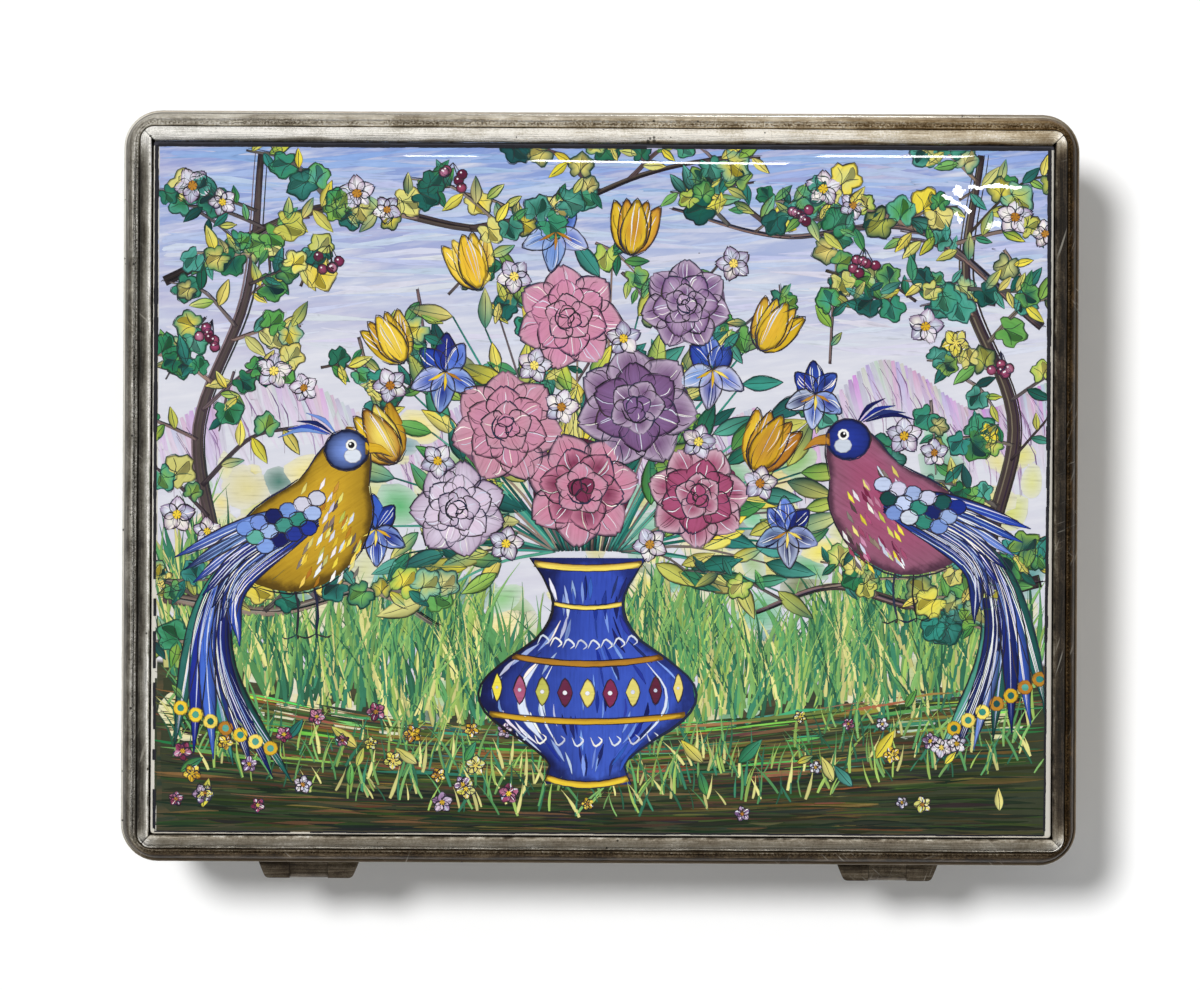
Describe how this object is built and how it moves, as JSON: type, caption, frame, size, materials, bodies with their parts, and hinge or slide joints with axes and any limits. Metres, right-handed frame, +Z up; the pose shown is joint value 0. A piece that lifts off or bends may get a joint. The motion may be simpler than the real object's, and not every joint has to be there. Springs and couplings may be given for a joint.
{
  "type": "hinged table box",
  "caption": "Rectangular silver table box with a hinged overhanging lid, a domed enamel plaque in a beaded bezel, and a cedar-lined, divided inside for cigarettes.",
  "frame": {"origin": "middle of the flat underside of the base plate", "axes": "+X along the box to the right with the lid's picture upright, +Y from the hinges to the side that lifts, +Z up"},
  "size_m": [0.14, 0.1127, 0.0394],
  "materials": {
    "silver": "satin",
    "bezel_silver": "satin",
    "hinge_silver": "satin",
    "gilt": "satin",
    "enamel": "gloss",
    "card": "matte",
    "cedar": "matte"
  },
  "bodies": {
    "body": {"base_plate": "silver", "base_moulding": "silver", "body_wall": "silver", "cedar_floor": "cedar", "cedar_board_front": "cedar", "cedar_board_left": "cedar", "cedar_board_back": "cedar", "cedar_board_right": "cedar", "cedar_divider": "cedar", "hinge_left_body_leaf": "hinge_silver", "hinge_left_pin": "hinge_silver", "hinge_right_body_leaf": "hinge_silver", "hinge_right_pin": "hinge_silver"},
    "lid": {"lid_wall": "silver", "lid_plate": "silver", "lid_lining_plate": "gilt", "lid_rim_moulding": "silver", "bezel_bead_top": "bezel_silver", "bezel_bead_left": "bezel_silver", "bezel_bead_bottom": "bezel_silver", "bezel_bead_right": "bezel_silver", "plaque_packing": "card", "enamel_plaque": "enamel", "hinge_left_lid_leaf": "hinge_silver", "hinge_right_lid_leaf": "hinge_silver"}
  },
  "joints": [
    {"name": "lid_hinge", "type": "hinge", "parent": "body", "child": "lid", "pos_m": [0, -0.056, 0.02915], "axis": [1, 0, 0], "range_deg": [0, 105]}
  ]
}
